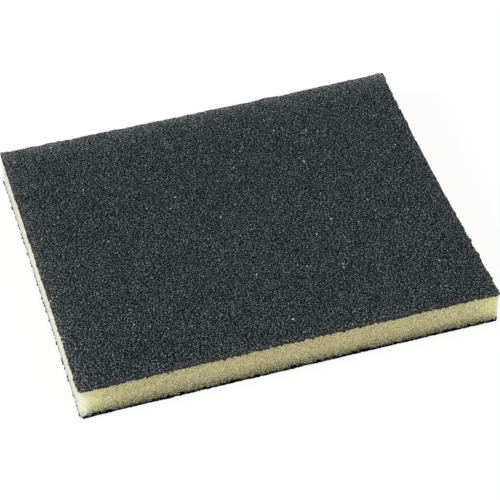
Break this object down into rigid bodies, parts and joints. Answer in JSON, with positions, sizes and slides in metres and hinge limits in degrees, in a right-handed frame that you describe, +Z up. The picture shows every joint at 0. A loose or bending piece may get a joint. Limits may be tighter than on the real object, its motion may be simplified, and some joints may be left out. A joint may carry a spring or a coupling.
{
  "type": "sanding sponge",
  "caption": "Flat flexible sanding pad: a slab of open-cell foam with a grit coat bonded to both wide faces, held in the hand to smooth curved or flat surfaces.",
  "frame": {"origin": "on the surface that the pad lies on, under the middle of its outline", "axes": "+X along the pad's length, +Y across its width to the back, +Z up through its thickness"},
  "size_m": [0.121, 0.098, 0.0124],
  "materials": {
    "foam": "matte",
    "abrasive_coat": "matte"
  },
  "bodies": {
    "root": {"foam_core": "foam", "upper_abrasive_coat": "abrasive_coat", "lower_abrasive_coat": "abrasive_coat"}
  },
  "joints": []
}
